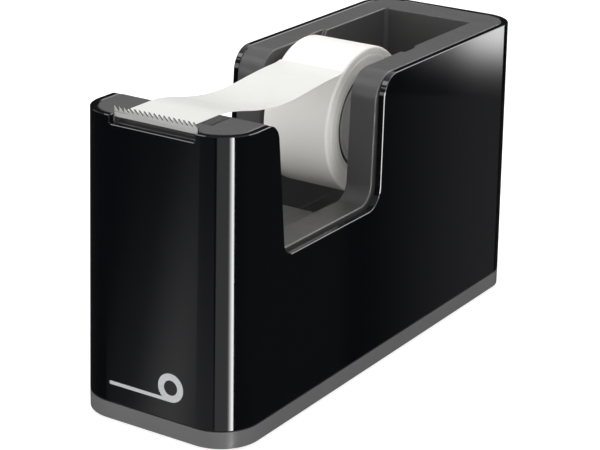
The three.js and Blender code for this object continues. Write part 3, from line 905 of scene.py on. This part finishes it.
def tape_winding(name):
    """The wound film: side faces that step in and out by a few hundredths, and soft outer corners."""
    inner = CORE_OUTER + 0.05
    side = []
    steps = 34
    for k in range(steps):
        radius = inner + (ROLL_RADIUS - 0.75 - inner) * k / (steps - 1)
        side.append((radius, random.uniform(-0.05, 0.05)))
    right = [(r, TAPE_RIGHT + d) for r, d in side]
    left = [(r, TAPE_LEFT - d) for r, d in reversed(side)]
    r0, x0 = ROLL_RADIUS - ROLL_CORNER, TAPE_RIGHT - ROLL_CORNER
    turns = [math.radians(90 * k / 6) for k in range(7)]
    right_corner = [(r0 + ROLL_CORNER * math.sin(a), x0 + ROLL_CORNER * math.cos(a)) for a in turns]
    left_corner = [(r, TAPE_LEFT + TAPE_RIGHT - x) for r, x in reversed(right_corner)]
    return shade(turned(name, right + right_corner + left_corner + left, 160, AXIS), 40)


fit(shade(turned("axle_rod", rod_profile(AXLE_RADIUS, -AXLE_LENGTH / 2, AXLE_LENGTH / 2, 0.4), 64, AXIS)),
    ZINC, "axle", "steel", "axle_pin")

for name, x0, x1 in (("left", -WELL_WIDTH / 2 + GAP, TAPE_LEFT), ("right", TAPE_RIGHT, WELL_WIDTH / 2 - GAP)):
    ring = ring_profile(AXLE_BORE, AXLE_RADIUS + 1.5, x0, x1, 0.25)
    fit(shade(turned(f"spacer_{name}", ring, 64, AXIS)), HUB, "axle", "hub", f"axle_spacer_{name}")

fit(hub_half("hub_drum_left", TAPE_LEFT + 0.3, TAPE_X - 0.15), HUB, "roll", "hub", "hub_left")
fit(hub_half("hub_drum_right", TAPE_RIGHT - 0.3, TAPE_X + 0.15), HUB, "roll", "hub", "hub_right")
core = ring_profile(CORE_BORE, CORE_OUTER, TAPE_LEFT + 0.1, TAPE_RIGHT - 0.1, 0.2)
fit(shade(turned("board_core", core, 128, AXIS)), BOARD, "roll", "core", "tape_core")
fit(tape_winding("film_roll"), WINDING, "roll", "tape", "tape_winding")


# ---------------------------------------------------------------- free end of the tape


def smooth_line(points, count):
    """Catmull-Rom curve through points, resampled to count equal steps."""
    p = [Vector(q) for q in points]
    p = [2 * p[0] - p[1], *p, 2 * p[-1] - p[-2]]
    dense = []
    for i in range(1, len(p) - 2):
        for k in range(40):
            t = k / 40
            a = 2 * p[i] + t * (p[i + 1] - p[i - 1])
            b = t * t * (2 * p[i - 1] - 5 * p[i] + 4 * p[i + 1] - p[i + 2])
            c = t * t * t * (3 * p[i] - p[i - 1] - 3 * p[i + 1] + p[i + 2])
            dense.append((a + b + c) / 2)
    dense.append(p[-2])
    run = [0.0]
    for a, b in zip(dense, dense[1:]):
        run.append(run[-1] + (b - a).length)
    out = []
    for k in range(count + 1):
        want = run[-1] * k / count
        j = max(1, int(np.searchsorted(run, want)))
        t = (want - run[j - 1]) / (run[j] - run[j - 1])
        out.append(dense[j - 1].lerp(dense[j], t))
    return out, run[-1]


def tape_lead(name):
    """One layer of film from the front of the roll, sagging on its way to the platform and lying flat
    there up to the teeth."""
    rest = BODY_TOP + 0.02 + FILM / 2
    peel = math.radians(127)
    radius = ROLL_RADIUS + FILM / 2
    line, length = smooth_line([
        (BLADE_FRONT + BLADE_THICK + 0.15, rest), (-62, rest), (-57, rest), (-53.2, rest - 0.01),
        (-50, 75.75), (-45, 74.75), (-39.5, 73.45), (-33, 72.4), (-27, 72.0), (-21, 72.15), (-14, 72.75),
        (-7, 73.25), (-2, 73.5), (AXIS_Y + radius * math.cos(peel), AXIS_Z + radius * math.sin(peel)),
    ], 160)
    across = 14
    vertices, faces = [], []
    for side in (-1, 1):
        for k, here in enumerate(line):
            along = (line[min(k + 1, len(line) - 1)] - line[max(k - 1, 0)]).normalized()
            normal = Vector((-along.y, along.x))
            free = max(0.0, min(1.0, (here.x + 52) / 12)) * max(0.0, min(1.0, (2 - here.x) / 10))
            for j in range(across + 1):
                u = 2 * j / across - 1
                cup = 0.28 * free * (u * u - 0.4)
                offset = normal * (side * FILM / 2 + cup)
                vertices.append((TAPE_X + u * TAPE_WIDTH / 2, here.x + offset.x, here.y + offset.y))
    rows, columns = len(line), across + 1

    def at(side, k, j):
        return side * rows * columns + k * columns + j

    for k in range(rows - 1):
        for j in range(across):
            faces.append((at(1, k, j), at(1, k, j + 1), at(1, k + 1, j + 1), at(1, k + 1, j)))
            faces.append((at(0, k, j), at(0, k + 1, j), at(0, k + 1, j + 1), at(0, k, j + 1)))
        for j in (0, across):
            faces.append((at(0, k, j), at(1, k, j), at(1, k + 1, j), at(0, k + 1, j)))
    for j in range(across):
        for k in (0, rows - 1):
            faces.append((at(0, k, j), at(0, k, j + 1), at(1, k, j + 1), at(1, k, j)))
    lead = make(name, vertices, faces)
    clean(lead)
    return shade(lead, 50), length


lead, lead_length = tape_lead("film_end")
fit(lead, FILM_LOOK, "axle", "tape", "tape_lead")


# ---------------------------------------------------------------- floor, lights and camera


def along_card(tree, coordinate, stops, easing):
    """A brightness profile along one axis of a card, from 0 at its low edge to 1 at its high edge."""
    ramp = tree.nodes.new("ShaderNodeValToRGB")
    ramp.color_ramp.interpolation = easing
    elements = ramp.color_ramp.elements
    while len(elements) < len(stops):
        elements.new(0.5)
    for element, (position, value) in zip(elements, stops):
        element.position = position
        element.color = (value, value, value, 1)
    tree.links.new(coordinate, ramp.inputs["Fac"])
    return ramp.outputs["Color"]


def flat_panel(name, width, height):
    w, h = width / 2, height / 2
    return make(name, [(-w, -h, 0), (w, -h, 0), (w, h, 0), (-w, h, 0)], [(0, 1, 2, 3)])


EVEN = ((0, 1), (1, 1))


def card(name, azimuth, elevation, distance, size, strength, across=EVEN, upward=EVEN, easing="EASE"):
    """A light panel that only reflections see, facing the body from azimuth and elevation in degrees.
    Azimuth 0 is straight in front of the cutter and 90 is to the right."""
    a, e = math.radians(azimuth), math.radians(elevation)
    direction = Vector((math.sin(a) * math.cos(e), -math.cos(a) * math.cos(e), math.sin(e)))
    panel = flat_panel(name, *size)
    panel.location = (Vector((0, 0, 40)) + direction * distance) * MM
    panel.rotation_euler = direction.to_track_quat("Z", "Y").to_euler()
    material = bpy.data.materials.new(name)
    material.use_nodes = True
    tree = material.node_tree
    tree.nodes.clear()
    light = tree.nodes.new("ShaderNodeEmission")
    light.inputs["Strength"].default_value = strength
    place = tree.nodes.new("ShaderNodeTexCoord")
    split = tree.nodes.new("ShaderNodeSeparateXYZ")
    tree.links.new(place.outputs["Generated"], split.inputs["Vector"])
    blend = tree.nodes.new("ShaderNodeMix")
    blend.data_type = "RGBA"
    blend.blend_type = "MULTIPLY"
    blend.inputs["Factor"].default_value = 1
    tree.links.new(along_card(tree, split.outputs["X"], across, easing), blend.inputs["A"])
    tree.links.new(along_card(tree, split.outputs["Y"], upward, easing), blend.inputs["B"])
    tree.links.new(blend.outputs["Result"], light.inputs["Color"])
    out = tree.nodes.new("ShaderNodeOutputMaterial")
    tree.links.new(light.outputs["Emission"], out.inputs["Surface"])
    panel.data.materials.append(material)
    panel.visible_camera = False
    panel.visible_diffuse = False
    panel.visible_shadow = False
    panel.visible_transmission = False


def studio_floor():
    """A grey floor with a glow of its own that makes it look about as white as the background."""
    floor = flat_panel("studio_floor", 8000, 8000)
    m = Shader("pale_floor", (0.5, 0.5, 0.5), 0.9)
    m.vary_color(m.noise(3, 2), 0.98, 1.0)
    m.set("Emission Color", (1, 1, 1, 1))
    m.set("Emission Strength", 0.75)
    floor.data.materials.append(m.material)
    floor.visible_glossy = False


def area_light(name, place, target, size, power, shadow=True, glossy=True):
    """A soft lamp aimed at target, with places and sizes in metres. A lamp that is not glossy is left
    out of reflections."""
    data = bpy.data.lights.new(name, "AREA")
    data.use_shadow = shadow
    data.shape = "RECTANGLE"
    data.size, data.size_y = size
    data.energy = power
    lamp = bpy.data.objects.new(name, data)
    lamp.location = place
    lamp.rotation_euler = (Vector(target) - Vector(place)).to_track_quat("-Z", "Y").to_euler()
    lamp.visible_glossy = glossy
    bpy.context.scene.collection.objects.link(lamp)


def studio_world(diffuse, low, high):
    """Even soft light all round. Reflections see a dark room that grows lighter at 17 to 27 degrees
    above the horizon, and more so to the rear. The camera sees white."""
    world = bpy.data.worlds.new("studio")
    bpy.context.scene.world = world
    world.use_nodes = True
    tree = world.node_tree
    background = tree.nodes["Background"]
    path = tree.nodes.new("ShaderNodeLightPath")
    place = tree.nodes.new("ShaderNodeTexCoord")
    split = tree.nodes.new("ShaderNodeSeparateXYZ")
    tree.links.new(place.outputs["Generated"], split.inputs["Vector"])
    rise = tree.nodes.new("ShaderNodeMapRange")
    rise.interpolation_type = "SMOOTHSTEP"
    rise.inputs["From Min"].default_value = 0.29
    rise.inputs["From Max"].default_value = 0.46
    rise.inputs["To Min"].default_value = low
    rise.inputs["To Max"].default_value = high
    tree.links.new(split.outputs["Z"], rise.inputs["Value"])
    rearward = tree.nodes.new("ShaderNodeMapRange")
    rearward.inputs["From Min"].default_value = -0.5
    rearward.inputs["From Max"].default_value = 0.2
    rearward.inputs["To Min"].default_value = 0.3
    rearward.inputs["To Max"].default_value = 1.0
    tree.links.new(split.outputs["Y"], rearward.inputs["Value"])
    room = tree.nodes.new("ShaderNodeMath")
    room.operation = "MULTIPLY"
    tree.links.new(rise.outputs["Result"], room.inputs[0])
    tree.links.new(rearward.outputs["Result"], room.inputs[1])
    choose = tree.nodes.new("ShaderNodeMix")
    choose.inputs["A"].default_value = diffuse
    tree.links.new(path.outputs["Is Glossy Ray"], choose.inputs["Factor"])
    tree.links.new(room.outputs["Value"], choose.inputs["B"])
    camera_white = tree.nodes.new("ShaderNodeMix")
    camera_white.inputs["B"].default_value = 1.0
    tree.links.new(path.outputs["Is Camera Ray"], camera_white.inputs["Factor"])
    tree.links.new(choose.outputs["Result"], camera_white.inputs["A"])
    tree.links.new(camera_white.outputs["Result"], background.inputs["Strength"])
    background.inputs["Color"].default_value = (1, 1, 1, 1)


def studio_camera(azimuth, elevation, roll, place, lens):
    """Camera at place, looking along azimuth and elevation in degrees, turned by roll."""
    a, e, r = (math.radians(v) for v in (azimuth, elevation, roll))
    back = Vector((math.sin(a) * math.cos(e), -math.cos(a) * math.cos(e), math.sin(e)))
    right = (-back).cross(Vector((0, 0, 1))).normalized()
    up = right.cross(-back)
    right, up = math.cos(r) * right + math.sin(r) * up, -math.sin(r) * right + math.cos(r) * up
    data = bpy.data.cameras.new("camera")
    data.lens = lens
    data.sensor_width = 36
    data.clip_start = 0.01
    camera = bpy.data.objects.new("camera", data)
    turn = Matrix((right, up, back)).transposed().to_4x4()
    camera.matrix_world = Matrix.Translation(Vector(place) * MM) @ turn
    bpy.context.scene.collection.objects.link(camera)
    bpy.context.scene.camera = camera


studio_floor()
studio_world(diffuse=0.4, low=0.02, high=0.9)
area_light("overhead", (-0.29, 0.1, 0.85), (0, 0, 0.05), (0.9, 0.9), 7.1, glossy=False)
area_light("front_fill", (-0.5, -0.75, 0.2), (0, 0, 0.03), (0.5, 0.3), 1.3)
area_light("low_fill", (0.1, -0.35, -0.8), (0, 0, 0.05), (0.5, 0.5), 1.3, shadow=False)
area_light("side_fill", (0.75, -0.5, 0.4), (0, 0, 0.05), (0.5, 0.5), 2.6, shadow=False)
card("line_card", 57, -10, 2000, (500, 1700), 21,
     across=[(0, 0.05), (0.2, 0.13), (0.45, 0.5), (0.75, 1), (1, 1)])
card("grey_card", 34, -18, 2000, (1050, 1100), 0.75)
card("front_sheen", -9, -16, 200, (160, 120), 0.75,
     across=[(0.05, 0), (0.14, 0.2), (0.24, 1), (0.31, 0.5), (1, 0.45)], upward=[(0, 1), (1, 0.2)])
card("rear_spot", 155.4, 5.6, 180, (90, 70), 12,
     across=[(0, 0), (0.12, 0.03), (0.21, 0.14), (0.3, 0.32), (0.35, 0.57), (0.4, 0.82), (0.5, 1), (0.54, 0)],
     upward=[(0, 0.01), (0.05, 0.02), (0.09, 0.035), (0.13, 0.07), (0.17, 0.13), (0.21, 0.23), (0.25, 0.35),
             (0.29, 0.46), (0.34, 0.52)], easing="LINEAR")
card("side_sheen", 150, -15, 190, (70, 130), 0.115, across=[(0, 0), (0.77, 1), (0.82, 0)])
card("notch_card", -55, 52, 2000, (560, 560), 5)
card("right_high_card", 85, 34, 2000, (1300, 1200), 2.4)
card("top_edge_card", 142, 37, 2000, (1700, 900), 5)
card("thin_card", -36, 36, 2000, (1800, 120), 4)
studio_camera(azimuth=32.442, elevation=20.25, roll=1.284, place=(252.634, -403.243, 207.084), lens=117.713)

bpy.context.scene.view_settings.view_transform = "Standard"
